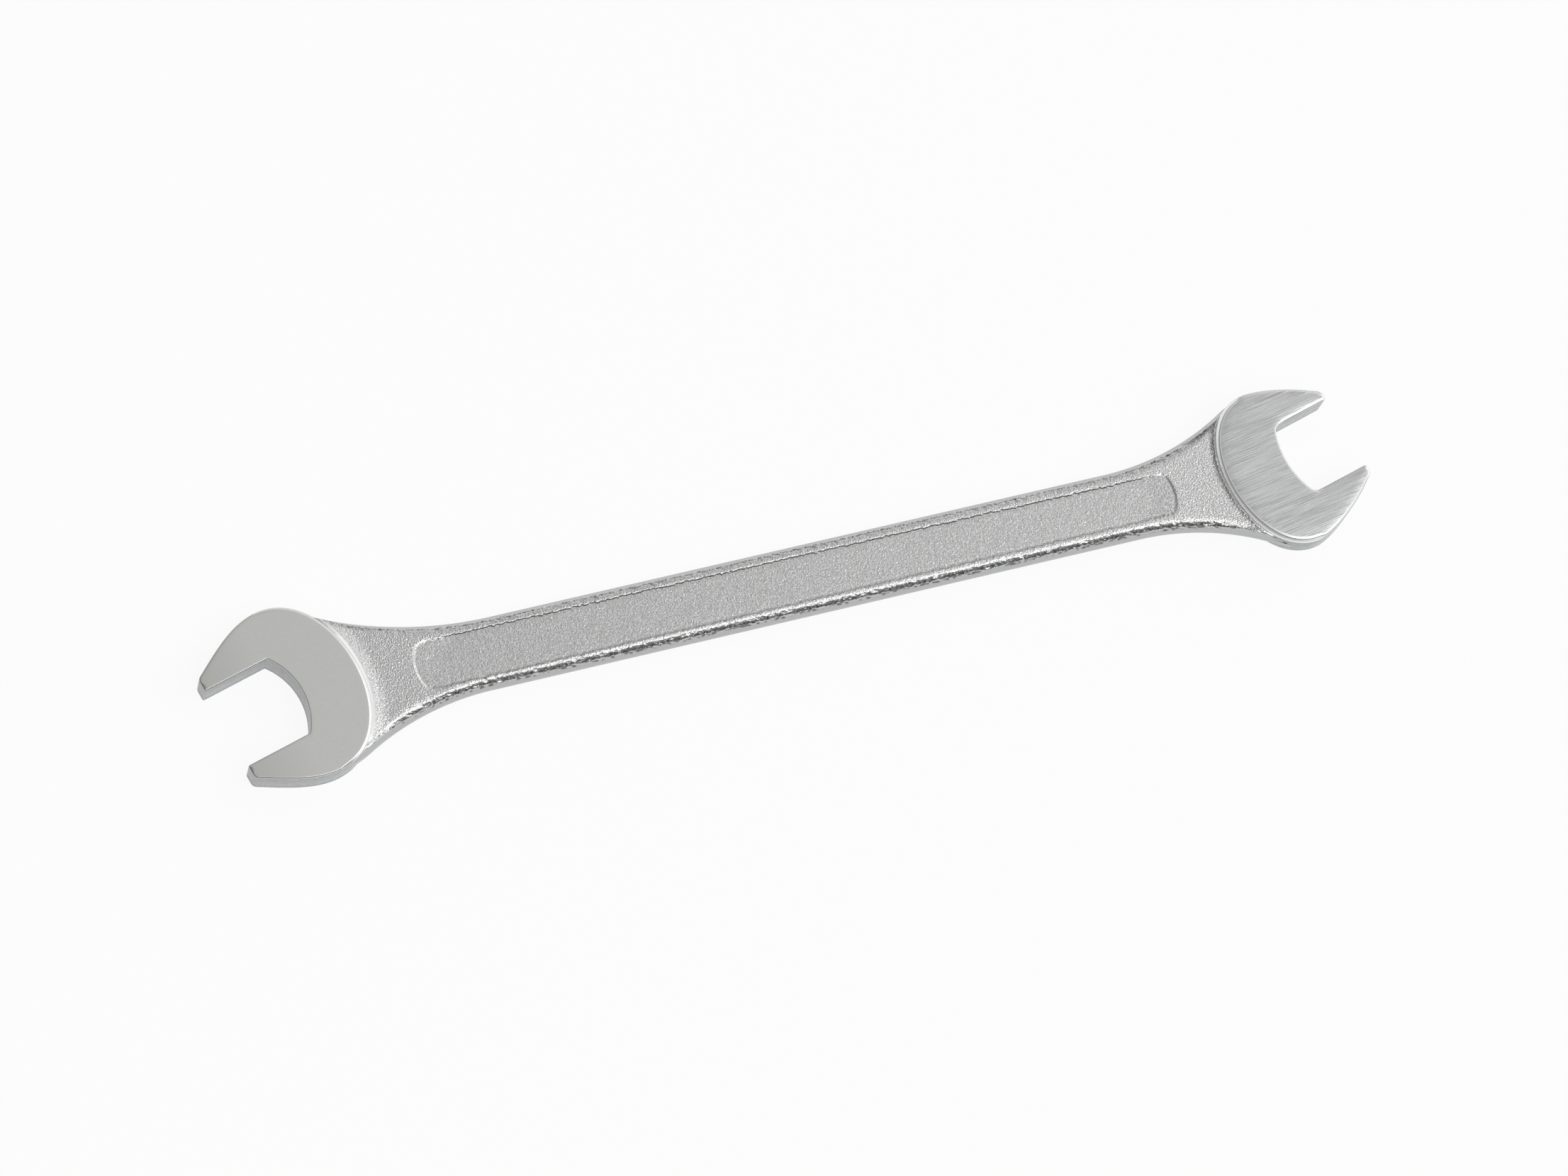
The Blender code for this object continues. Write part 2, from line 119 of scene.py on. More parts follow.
def half_outline(head):
    """From the middle of the throat round one jaw to the middle of the back: points and their part."""
    half = head["opening"] / 2
    corner = head["throat_corner"]
    centre = (head["throat_at"] + head["throat"], 0.0)
    reach = head["throat"] - corner
    rise = half - corner
    meet = 180.0 - math.degrees(math.asin(rise / reach))
    corner_at = (centre[0] - math.sqrt(reach**2 - rise**2), rise)
    inner = head["tip_inner"]
    outer = head["tip_outer"]
    slope = math.radians(head["ear_angle"])
    turn = 90.0 - head["ear_angle"]
    cut = outer * math.tan(math.radians(turn) / 2)
    tip = np.array((head["reach"], head["tip_width"] / 2))
    along = np.array((-math.cos(slope), math.sin(slope)))
    start = tip + along * cut
    widest, first, second, end = back_ends(head)
    run = float(np.linalg.norm(widest - start))
    handles = head["handle_shares"]
    flat = np.linspace((corner_at[0], half), (head["reach"] - inner, half), FLAT_STEPS + 1)
    ear_ends = start + along * run * handles[0], widest + (run * handles[1], 0.0)
    runs = (
        ("throat", arc_points(centre, head["throat"], 180.0, meet, THROAT_STEPS)),
        ("throat", arc_points(corner_at, corner, meet, 90.0, CORNER_STEPS)[1:-1]),
        ("flat", flat),
        ("tip", arc_points((head["reach"] - inner, half + inner), inner, -90.0, 0.0, CORNER_STEPS)[1:]),
        ("tip", arc_points(tip - (outer, cut), outer, 0.0, turn, CORNER_STEPS)),
        ("ear", curve_points(start, *ear_ends, widest, CURVE_STEPS)[1:]),
        ("back", curve_points(widest, first, second, end, CURVE_STEPS)[1:]),
    )
    points = np.concatenate([p for _, p in runs])
    parts = [name for name, p in runs for _ in p]
    return points, parts


def turned(points, head):
    """Points of the jaw's own frame, whose first axis runs out of the jaw, as they lie on the wrench."""
    turn = math.radians(head["turn"])
    spin = np.array(((math.cos(turn), -math.sin(turn)), (math.sin(turn), math.cos(turn))))
    return points @ spin.T


def head_outline(head):
    """The closed outline on the shank's axis, anticlockwise, with the part that each point is on."""
    points, parts = half_outline(head)
    whole = np.concatenate([points, points[-2:0:-1] * (1.0, -1.0)])
    return turned(whole, head) + (head["centre"], 0.0), parts + parts[-2:0:-1]


def distance_to(points, line, closed=True):
    """Each point's distance to a line of points, and the nearest of the line's stretches."""
    ends = np.roll(line, -1, 0) if closed else line[1:]
    starts = line if closed else line[:-1]
    runs = ends - starts
    lengths = (runs**2).sum(1)
    near = np.empty(len(points))
    which = np.empty(len(points), int)
    for i in range(0, len(points), MEASURED_AT_ONCE):
        some = slice(i, i + MEASURED_AT_ONCE)
        gap = points[some, None] - starts
        share = np.clip((gap * runs).sum(2) / lengths, 0.0, 1.0)
        left = ((gap - runs * share[..., None]) ** 2).sum(2)
        which[some] = left.argmin(1)
        near[some] = np.sqrt(left.min(1))
    return near, which


def inside(points, line):
    """Which points lie inside a closed line, by the crossings of a ray from each."""
    ends = np.roll(line, -1, 0)
    within = np.zeros(len(points), bool)
    for start, end in zip(line, ends):
        crosses = (start[1] > points[:, 1]) != (end[1] > points[:, 1])
        if crosses.any():
            at = start[0] + (end[0] - start[0]) * (points[:, 1] - start[1]) / (end[1] - start[1])
            within ^= crosses & (points[:, 0] < at)
    return within


def smoothed(values, reach):
    """Values round a closed line, evened out over their neighbours."""
    window = np.hanning(2 * reach + 1)
    wrapped = np.concatenate([values[-reach:], values, values[:reach]])
    return np.convolve(wrapped, window / window.sum(), "valid")


def rim_drop(near, rim, bevel, slope, softness):
    """How far the rim lies below the face: a quarter round at the edge, and a bevel inside it that
    meets the face in a soft line."""
    round_part = rim - np.sqrt(np.maximum(rim**2 - np.maximum(rim - near, 0.0) ** 2, 0.0))
    left = bevel - near
    soft = np.minimum(softness, bevel * SOFTEST_SHARE)
    return round_part + slope * (np.sqrt(left**2 + soft**2) + left) / 2


def make_head(name, head):
    """A head as one closed shell: two faces with their rims, and the wall between them."""
    outline, names = head_outline(head)
    rims, bevels, rolls, roll_widths = (
        smoothed(np.array([head[kind][n] for n in names]), RIM_EVENING)
        for kind in ("rims", "bevels", "rolls", "roll_widths")
    )
    ahead = np.roll(outline, -1, 0) - np.roll(outline, 1, 0)
    inward = np.stack([-ahead[:, 1], ahead[:, 0]], 1) / np.linalg.norm(ahead, axis=1)[:, None]
    edge_width = np.maximum(rims, bevels * BEVEL_SHARES[-1])
    rings = [rims * (1 - math.cos(math.radians(turn))) for turn in RIM_TURNS]
    rings += [bevels * share for share in BEVEL_SHARES]
    rings += [edge_width + RING_STEP * (i + 1) for i in range(RING_COUNT)]
    loose = []
    for ring in rings:
        points = outline + inward * ring[:, None]
        near, _ = distance_to(points, outline)
        clear = (ring > THINNEST_RING) & (near > ring * RING_SLACK)
        loose.append(points[clear & inside(points, outline)])
    low, high = outline.min(0), outline.max(0)
    grid = np.stack(np.meshgrid(*[np.arange(a, b, FACE_SPACING) for a, b in zip(low, high)]), 2)
    grid[::2, :, 0] += FACE_SPACING / 2
    grid = grid.reshape(-1, 2)
    near, _ = distance_to(grid, outline)
    deep = RING_STEP * (RING_COUNT + 1) + edge_width.max()
    loose.append(grid[(near > deep) & inside(grid, outline)])
    count = len(outline)
    points = [Vector(p) for p in np.concatenate([outline] + loose)]
    flat = delaunay_2d_cdt(points, [], [list(range(count))], 1, MERGE_DISTANCE)
    verts = np.array([tuple(v) for v in flat[0]])
    near, which = distance_to(verts, outline)
    back = {source: i for i, sources in enumerate(flat[3]) for source in sources}
    edge = [back[i] for i in range(count)]
    near[edge] = 0.0
    which[edge] = range(count)
    drop = rim_drop(near, rims[which], bevels[which], head["bevel_slope"], head["bevel_softness"])
    drop += rolls[which] * np.maximum(1 - near / roll_widths[which], 0.0) ** 2
    top = HEAD_THICKNESS / 2 - drop
    whole = np.concatenate([np.column_stack([verts, top]), np.column_stack([verts, -top])])
    size = len(verts)
    faces = [list(f) for f in flat[2]]
    faces += [[i + size for i in reversed(f)] for f in flat[2]]
    face_count = len(faces)
    for i in range(count):
        a, b = edge[i], edge[(i + 1) % count]
        faces.append([b, a, a + size, b + size])
    whole[:, 1:] += (SHANK_AXIS_Y, HEAD_THICKNESS / 2)
    mesh = bpy.data.meshes.new(name)
    mesh.from_pydata(whole.tolist(), [], faces)
    mesh.shade_smooth()
    slots = np.ones(len(faces), np.int32)
    slots[:face_count] = 0
    mesh.polygons.foreach_set("material_index", slots)
    level = np.clip((near - edge_width[which]) / LEVEL_FADE, 0.0, 1.0)
    turn = math.radians(head["turn"])
    out = (verts[:, 0] - head["centre"]) * math.cos(turn) + verts[:, 1] * math.sin(turn)
    tip = np.clip((out - TIP_FROM) / TIP_FADE, 0.0, 1.0)
    # Painted highlight: the wider bevels are marked to take a near-white colour.
    bevel_highlight = (1 - level) * np.clip((bevels[which] - PLAIN_BEVEL) / BEVEL_HIGHLIGHT_FADE, 0.0, 1.0)
    for title, values in (("level", level), ("tip", tip), ("bevel_highlight", bevel_highlight)):
        layer = mesh.attributes.new(title, "FLOAT", "POINT")
        layer.data.foreach_set("value", np.tile(values, 2).astype(np.float32))
    item = bpy.data.objects.new(name, mesh)
    bpy.context.collection.objects.link(item)
    return item


def fasten(piece, finishes):
    """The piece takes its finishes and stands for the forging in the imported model."""
    for finish in finishes:
        piece.data.materials.append(finish)
    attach(piece, "root")
    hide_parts("wrench_forging")


def add(tree, kind, settings=None, inputs=None):
    """A node with its own settings, each of its inputs a value or another node's output."""
    node = tree.nodes.new(kind)
    for title, value in (settings or {}).items():
        setattr(node, title, value)
    for title, value in (inputs or {}).items():
        if isinstance(value, bpy.types.NodeSocket):
            tree.links.new(value, node.inputs[title])
        else:
            node.inputs[title].default_value = value
    return node


def new_group(name, inputs, outputs):
    """An empty effect with named inputs and outputs, and the sockets that its own nodes join."""
    group = bpy.data.node_groups.new(name, "ShaderNodeTree")
    for title, kind, value in inputs:
        socket = group.interface.new_socket(title, in_out="INPUT", socket_type=kind)
        socket.default_value = value
    for title, kind in outputs:
        group.interface.new_socket(title, in_out="OUTPUT", socket_type=kind)
    return group, group.nodes.new("NodeGroupInput").outputs, group.nodes.new("NodeGroupOutput").inputs


# The plate's shade drifts a little, because it goes on thicker in some places than in others.
plate_shade, given, out = new_group(
    "plate_shade",
    (
        ("Light", "NodeSocketColor", (0.7, 0.7, 0.7, 1.0)),
        ("Dark", "NodeSocketColor", (0.6, 0.6, 0.6, 1.0)),
        ("Scale", "NodeSocketFloat", 600.0),
        ("Mask", "NodeSocketFloat", 1.0),
    ),
    (("Color", "NodeSocketColor"),),
)
place = add(plate_shade, "ShaderNodeTexCoord").outputs["Object"]
cloud = add(
    plate_shade,
    "ShaderNodeTexNoise",
    None,
    {"Vector": place, "Scale": given["Scale"], "Detail": 3.0},
)
spread = add(
    plate_shade,
    "ShaderNodeMapRange",
    None,
    {"Value": cloud.outputs["Fac"], "From Min": 0.35, "From Max": 0.65},
)
amount = add(
    plate_shade,
    "ShaderNodeMath",
    {"operation": "MULTIPLY"},
    {0: spread.outputs[0], 1: given["Mask"]},
)
blend = add(
    plate_shade,
    "ShaderNodeMix",
    {"data_type": "RGBA"},
    {0: amount.outputs[0], 6: given["Light"], 7: given["Dark"]},
)
plate_shade.links.new(blend.outputs[2], out["Color"])

# Fine pitting: the skin that the blasting before the plating leaves, or the die's own grain.
skin, given, out = new_group(
    "skin",
    (
        ("Scale", "NodeSocketFloat", 3000.0),
        ("Detail", "NodeSocketFloat", 2.0),
        ("Mask", "NodeSocketFloat", 1.0),
    ),
    (("Height", "NodeSocketFloat"),),
)
place = add(skin, "ShaderNodeTexCoord").outputs["Object"]
pits = add(
    skin,
    "ShaderNodeTexNoise",
    None,
    {"Vector": place, "Scale": given["Scale"], "Detail": given["Detail"], "Roughness": 0.55},
)
level = add(skin, "ShaderNodeMath", {"operation": "MULTIPLY"}, {0: pits.outputs["Fac"], 1: given["Mask"]})
skin.links.new(level.outputs[0], out["Height"])


def plate(name, colour, roughness):
    """Satin chrome with this plain colour and roughness: the material, its nodes and its shader."""
    material = bpy.data.materials.new(name)
    material.use_nodes = True
    shader = material.node_tree.nodes["Principled BSDF"]
    shader.inputs["Base Color"].default_value = colour
    shader.inputs["Metallic"].default_value = 1.0
    shader.inputs["Roughness"].default_value = roughness
    return material, material.node_tree, shader


def bump_from(tree, shader, height, distance):
    """Give the shader's surface this relief, its whole height as deep as the distance."""
    relief = add(tree, "ShaderNodeBump", None, {"Height": height, "Distance": distance})
    tree.links.new(relief.outputs["Normal"], shader.inputs["Normal"])


ground_plate, tree, shader = plate("ground_plate", (0.72, 0.72, 0.71, 1.0), 0.30)
shade = add(
    tree,
    "ShaderNodeGroup",
    {"node_tree": plate_shade},
    {"Light": (0.73, 0.73, 0.72, 1.0), "Dark": (0.71, 0.71, 0.70, 1.0), "Scale": 2500.0},
)
tip = add(tree, "ShaderNodeAttribute", {"attribute_name": "tip"})
warm = add(
    tree,
    "ShaderNodeMix",
    {"data_type": "RGBA"},
    {0: tip.outputs["Fac"], 6: shade.outputs["Color"], 7: (0.60, 0.603, 0.575, 1.0)},
)
tree.links.new(warm.outputs[2], shader.inputs["Base Color"])
pitting = add(tree, "ShaderNodeGroup", {"node_tree": skin}, {"Scale": 9000.0, "Detail": 1.0})
bump_from(tree, shader, pitting.outputs["Height"], GROUND_PIT_DEPTH)

# Painted shade: the walls are the faces' chrome, but their colour is set darker to stand for the shaded
# floor close beside them, which they mirror.
wall_plate, tree, shader = plate("wall_plate", (0.56, 0.57, 0.575, 1.0), 0.22)
shade = add(
    tree,
    "ShaderNodeGroup",
    {"node_tree": plate_shade},
    {"Light": (0.48, 0.49, 0.50, 1.0), "Dark": (0.41, 0.42, 0.425, 1.0), "Scale": 1400.0},
)
tree.links.new(shade.outputs["Color"], shader.inputs["Base Color"])
pitting = add(tree, "ShaderNodeGroup", {"node_tree": skin}, {"Scale": 2600.0, "Detail": 2.0})
bump_from(tree, shader, pitting.outputs["Height"], WALL_PIT_DEPTH)

large_head = make_head("large_head", LARGE)
fasten(large_head, (ground_plate, wall_plate))

# Small head
# The 10 mm jaw is the forging's other end, cut and ground in the same way. Its faces are brushed
# on a belt, with lines a little askew to the shank, and roll down softly towards their rims. The
# bevel round its back is polished, and a painted highlight makes it brighter than the rest.
SMALL = {
    "centre": 0.06678615,
    "turn": JAW_ANGLE,
    "heading": 1,
    "opening": 0.0101,
    "throat": 0.0120,
    "throat_corner": 0.0010,
    "throat_at": 0.0009,
    "reach": 0.01005,
    "tip_width": 0.0125,
    "tip_inner": 0.00045,
    "tip_outer": 0.0012,
    "ear_angle": 38.0,
    "widest": (-0.0002, 0.0218),
    "back": 0.0077,
    "handle_shares": (0.34, 0.21, 0.58, 0.56),
    "rims": {"throat": 0.00012, "flat": 0.00025, "tip": 0.00025, "ear": 0.00025, "back": 0.00010},
    "bevels": {"throat": 0.0, "flat": 0.0, "tip": 0.0, "ear": 0.00020, "back": 0.00040},
    "bevel_slope": 1.20,
    "bevel_softness": 0.00005,
    "rolls": {"throat": 0.00002, "flat": 0.00012, "tip": 0.00012, "ear": 0.00012, "back": 0.00010},
    "roll_widths": {"throat": 0.0010, "flat": 0.0013, "tip": 0.0013, "ear": 0.0013, "back": 0.0021},
}
BRUSHING_TURN = 9.5
BRUSHING_DEPTH = 0.00002

# The belt's lines: long thin scratches, and wider ones among them.
brushing, given, out = new_group(
    "brushing",
    (
        ("Turn", "NodeSocketVector", (0.0, 0.0, 0.0)),
        ("Lines", "NodeSocketVector", (170.0, 10000.0, 10000.0)),
        ("Mask", "NodeSocketFloat", 1.0),
    ),
    (("Line", "NodeSocketFloat"), ("Height", "NodeSocketFloat")),
)
place = add(brushing, "ShaderNodeTexCoord").outputs["Object"]
along = add(brushing, "ShaderNodeMapping", None, {"Vector": place, "Rotation": given["Turn"]})
drawn = add(
    brushing,
    "ShaderNodeVectorMath",
    {"operation": "MULTIPLY"},
    {0: along.outputs[0], 1: given["Lines"]},
)
fine = add(brushing, "ShaderNodeTexNoise", None, {"Vector": drawn.outputs[0], "Scale": 1.0, "Detail": 3.0})
wide = add(brushing, "ShaderNodeTexNoise", None, {"Vector": drawn.outputs[0], "Scale": 0.6, "Detail": 2.0})
deep = add(
    brushing,
    "ShaderNodeMapRange",
    None,
    {"Value": wide.outputs["Fac"], "From Min": 0.52, "From Max": 0.66, "To Min": 0.0, "To Max": 0.6},
)
thin = add(
    brushing, "ShaderNodeMapRange", None, {"Value": fine.outputs["Fac"], "From Min": 0.45, "From Max": 0.7}
)
both = add(brushing, "ShaderNodeMath", {"operation": "MAXIMUM"}, {0: deep.outputs[0], 1: thin.outputs[0]})
line = add(brushing, "ShaderNodeMath", {"operation": "MULTIPLY"}, {0: both.outputs[0], 1: given["Mask"]})
height = add(
    brushing,
    "ShaderNodeMath",
    {"operation": "MULTIPLY"},
    {0: fine.outputs["Fac"], 1: given["Mask"]},
)
brushing.links.new(line.outputs[0], out["Line"])
brushing.links.new(height.outputs[0], out["Height"])

brushed_plate, tree, shader = plate("brushed_plate", (0.72, 0.725, 0.725, 1.0), 0.26)
level = add(tree, "ShaderNodeAttribute", {"attribute_name": "level"})
lines = add(
    tree,
    "ShaderNodeGroup",
    {"node_tree": brushing},
    {"Turn": (0.0, 0.0, math.radians(-BRUSHING_TURN)), "Mask": level.outputs["Fac"]},
)
shade = add(
    tree,
    "ShaderNodeMix",
    {"data_type": "RGBA"},
    {0: lines.outputs["Line"], 6: (0.70, 0.705, 0.705, 1.0), 7: (0.40, 0.405, 0.405, 1.0)},
)
# Painted highlight: the polished bevel's colour is raised to near white, with the roughness unchanged.
bevel_highlight = add(tree, "ShaderNodeAttribute", {"attribute_name": "bevel_highlight"})
bevel_shade = add(
    tree,
    "ShaderNodeMix",
    {"data_type": "RGBA"},
    {0: bevel_highlight.outputs["Fac"], 6: shade.outputs[2], 7: (0.95, 0.955, 0.955, 1.0)},
)
tree.links.new(bevel_shade.outputs[2], shader.inputs["Base Color"])
bump_from(tree, shader, lines.outputs["Height"], BRUSHING_DEPTH)

small_head = make_head("small_head", SMALL)
fasten(small_head, (brushed_plate, wall_plate))

# Forged bar
# The shank and its two necks are left as they came out of the die: a grained skin, jagged creases
# where the ground sides begin, a shallow panel with a grooved edge in each face, and fillets up to
# the heads, into which both ends of the bar are let.
SHANK_WIDTH = 0.0094
SHANK_THICKNESS = 0.0030
SIDE_LAND = 0.00025
SIDE_TOP = 0.00100
SIDE_INSET = 0.00050
SIDE_STRAIGHTNESS = 0.55
BREAK_INSET = 0.00092
BREAK_TOP = 0.00134
CREASE_SLOPES = (0.95, 0.68)
CROWN_INSET = 0.00140
PANEL_DEPTH = 0.00015
PANEL_EDGE = 0.00020
PANEL_GROOVE = 0.00002
PANEL_GROOVE_INSET = PANEL_EDGE * 0.8
PANEL_GROOVE_WIDTH = 0.00009
PANEL_LARGE_END_WIDTH = 0.0064
PANEL_SMALL_END_WIDTH = 0.0056
PANEL_END_RADIUS = 0.0050
PANEL_CORNER_RADIUS = 0.0005
PANEL_END_SHARE = 0.50
PANEL_END_FADE = 0.003
PANEL_TO_LARGE_HEAD = 0.0168
PANEL_TO_SMALL_HEAD = 0.0148
SIDE_BLEND = 0.0050
LINE_BLEND = 0.0150
HEAD_CLEARANCE = 0.0001
BAR_SINK = 0.0010
ROOT_SINK = 0.00015
ROOT_SHARE = 0.15

# The mesh: rows across the bar, in columns that lie closer together at the creases and the panel.
ROOT_STEPS = 60
SIDE_SEARCH_STEPS = 4000
ROW_SPACING = 0.00018
FINE_ROW_SPACING = 0.00012
FINE_ROWS_BEFORE = 0.0004
FINE_ROWS_AFTER = 0.0016
HALF_ROW_REACH = 0.03
HALF_ROW_STEPS = 3000
MM_PER_METRE = 1000
SIDE_COLUMNS_MM = (0.0, 0.02, 0.06, 0.12, 0.2, 0.3, 0.4, 0.5, 0.6, 0.7, 0.8, 0.9, 1.02, 1.15, 1.3)
PANEL_COLUMNS_MM = (-0.13, -0.105, -0.08, 0.0, 0.08, 0.105, 0.13)
PANEL_COLUMNS_GAP = 0.0002
PANEL_COLUMNS_FADE = 0.004
INNER_COLUMNS = 9
OUTER_COLUMNS = 2

# The die's marks: how far the creases and the panel's edge stray, and where the skin fades; also
# how dark the painted shade lies in the creases, along the panel's edge and at the small fillet's root.
# A noise is given as its scales, each with its share.
UPPER_SEED, LOWER_SEED = 0.0, 0.5
JAG_NOISE = ((2100.0, 0.8), (3900.0, 0.8))
JAG_FROM = SIDE_INSET * 0.5
JAG_FADE = 0.0003
JAG_HEAD_FADE = 0.0006
CREASE_JAG = 0.00016
CREASE_MIDDLE = 0.00070
CREASE_REACH = 0.00034
CREASE_WIDTH = 0.00018
CREASE_CALM = 1.6
CREASE_DARK = 1.5
EDGE_CALM = 2
EDGE_DARKEST = 0.6
FILLET_CREASE_JAG = 0.0002
FILLET_CREASE_WIDTH = 0.0004
FILLET_CREASE_DARK = 1.3
FILLET_CREASE_DARKEST = 0.8
PANEL_END_DARKENING = 0.001
PANEL_NOISE_SCALES = (1500.0, 3400.0)
PANEL_COARSE_SHARE = 0.7
PANEL_SIDE_SEED = 5.3
PANEL_EDGE_REACH = 0.06
PANEL_EDGE_SPACING = 0.00005
PANEL_JAG = 0.00018
PEEL_NOISE = ((1150.0, 0.6), (2300.0, 0.4))
PEEL_HEIGHT = 0.000014
PEEL_PANEL_LOSS = 0.5
GRAIN_FROM = SIDE_INSET * 0.9
MARK_FADE = 0.0001
SKIN_DEPTH = 0.00007
SKIN_CREASE_LOSS = 0.62
SKIN_PANEL_LOSS = 0.35

# What each head adds: its fillet's width and rise, where the grain starts beside it and fades in,
# and the radius and flare of its neck above (1) and below (-1) the shank's axis.
LARGE.update({"fillet": (0.0024, 0.00040), "grain_from": (0.0002, 0.0005), "fillet_jag": 0.0})
SMALL.update({"fillet": (0.0007, 0.00023), "grain_from": (0.0000, 0.0002), "fillet_jag": 0.00020})
LARGE["necks"] = {1: (0.036, 0.0050), -1: (0.050, 0.0001)}
SMALL["necks"] = {1: (0.035, 0.0024), -1: (0.035, 0.0003)}
LARGE["panel_end"] = LARGE["centre"] + PANEL_TO_LARGE_HEAD
SMALL["panel_end"] = SMALL["centre"] - PANEL_TO_SMALL_HEAD


def back_at(head, share, flare=0.0):
    """Points and directions on the back curve at these shares of it."""
    start, first, second, end = back_ends(head, flare)
    share = np.atleast_1d(share)[:, None]
    near = (start + (first - start) * share) * (1 - share) + (first + (second - first) * share) * share
    far = (first + (second - first) * share) * (1 - share) + (second + (end - second) * share) * share
    ahead = far - near
    return near * (1 - share) + far * share, ahead / np.linalg.norm(ahead, axis=1)[:, None]


def side_line(head):
    """The bar's two sides at one end, from inside the head to the shank: {1: above, -1: below}."""
    sides = {}
    for side in (1, -1):
        radius, flare = head["necks"][side]
        shares = np.linspace(0.0, 1.0, SIDE_SEARCH_STEPS + 1)
        points, ahead = back_at(head, shares, flare)
        points = turned(points * (1.0, side), head)
        ahead = turned(ahead * (1.0, side), head)
        upper = np.sign(points[:, 1])
        lean = np.arctan2(-ahead[:, 1] * upper, np.abs(ahead[:, 0]))
        free = (np.abs(points[:, 1]) - SHANK_WIDTH / 2 > radius * (1 - np.cos(lean))) | (lean < 0)
        last = int(np.argmin(free))
        rise = np.linspace(0.0, 1.0, ROOT_STEPS + 1)[:, None]
        root = shares[last] * (ROOT_SHARE + (1 - ROOT_SHARE) * rise[:, 0])
        flared, along = back_at(head, root, flare)
        outward = np.stack([along[:, 1], -along[:, 0]], 1)
        plain = back_at(head, root)[0]
        line = plain + (flared - plain) * rise - outward * ROOT_SINK * (1 - rise) ** 2
        line = turned(line * (1.0, side), head)
        start = points[last, 0] - head["heading"] * radius * math.sin(lean[last])
        turns = np.linspace(lean[last], 0.0, CURVE_STEPS + 1)[1:]
        across = start + head["heading"] * radius * np.sin(turns)
        rise = upper[last] * (SHANK_WIDTH / 2 + radius * (1 - np.cos(turns)))
        neck = np.stack([across, rise], 1)
        sides[int(upper[last])] = np.concatenate([line, neck]) + (head["centre"], 0.0)
    return sides


def boss_line(head, away):
    """A line across the bar, this far from the head's back: curved near the head, straight far off."""
    shares = np.linspace(0.0, 1.0, CURVE_STEPS + 1)
    points, ahead = back_at(head, shares)
    outward = np.stack([ahead[:, 1], -ahead[:, 0]], 1)
    branch = points + outward * away
    branch = np.concatenate([[branch[0] - ahead[0] * head["widest"][1] / 2], branch])
    line = np.concatenate([branch, branch[-2::-1] * (1.0, -1.0)])
    line = turned(line, head) + (head["centre"], 0.0)
    if line[0, 1] < line[-1, 1]:
        line = line[::-1]
    apex = head["heading"] * (line[:, 0] * head["heading"]).min()
    fade = min(max(away / LINE_BLEND, 0.0), 1.0)
    fade = fade * fade * (3 - 2 * fade)
    return np.stack([line[:, 0] + (apex - line[:, 0]) * fade, line[:, 1]], 1)


def along_line(line, lengths):
    """The points at these lengths along a line of points."""
    steps = np.linalg.norm(np.diff(line, axis=0), axis=1)
    at = np.concatenate([[0.0], np.cumsum(steps)])
    return np.stack([np.interp(lengths, at, line[:, i]) for i in (0, 1)], 1)


def ragged(x, row):
    """How far the panel's edge strays at this place, on one of its two sides."""
    coarse, fine = (noise.noise(Vector((x * scale, row, scale))) for scale in PANEL_NOISE_SCALES)
    return (coarse * PANEL_COARSE_SHARE + fine) * PANEL_JAG


edge_places = np.arange(-PANEL_EDGE_REACH, PANEL_EDGE_REACH, PANEL_EDGE_SPACING)
edge_strays = {
    side: np.array([ragged(x, side * PANEL_SIDE_SEED) for x in edge_places]) for side in (1, -1)
}


def panel_half(x, y):
    """Half the panel's width at this place along the shank, on the side that y is on."""
    share = (x - LARGE["panel_end"]) / (SMALL["panel_end"] - LARGE["panel_end"])
    half = PANEL_LARGE_END_WIDTH / 2 + (PANEL_SMALL_END_WIDTH - PANEL_LARGE_END_WIDTH) / 2 * share
    strays = [np.interp(x, edge_places, edge_strays[side]) for side in (1, -1)]
    return half + np.where(y > 0, *strays)


def half_row(branch, side):
    """A row's columns from its middle out to the bar's side, closer together at the panel's edge."""
    fine = along_line(branch, np.linspace(0.0, HALF_ROW_REACH, HALF_ROW_STEPS + 1))
    order = np.argsort(side[:, 0])
    limit = np.interp(fine[:, 0], side[order, 0], np.abs(side[order, 1]))
    reach = HALF_ROW_REACH * int(np.argmax(np.abs(fine[:, 1]) > limit)) / HALF_ROW_STEPS
    edge = reach - np.array(SIDE_COLUMNS_MM[::-1]) / MM_PER_METRE
    even = np.linspace(0.0, edge[0], INNER_COLUMNS + len(PANEL_COLUMNS_MM) + OUTER_COLUMNS + 1)[:-1]
    x = branch[0, 0]
    panel_edge = min(float(panel_half(x, branch[-1, 1])), edge[0] - PANEL_COLUMNS_GAP)
    line = panel_edge + np.array(PANEL_COLUMNS_MM) / MM_PER_METRE
    inner = np.linspace(0.0, line[0], INNER_COLUMNS + 1)[:-1]
    outer = np.linspace(line[-1], edge[0], OUTER_COLUMNS + 2)[1:-1]
    packed = np.concatenate([inner, line, outer])
    outside = max(LARGE["panel_end"] - x, x - SMALL["panel_end"], 0.0)
    share = max(1 - outside / PANEL_COLUMNS_FADE, 0.0)
    return along_line(branch, np.concatenate([even + (packed - even) * share, edge]))


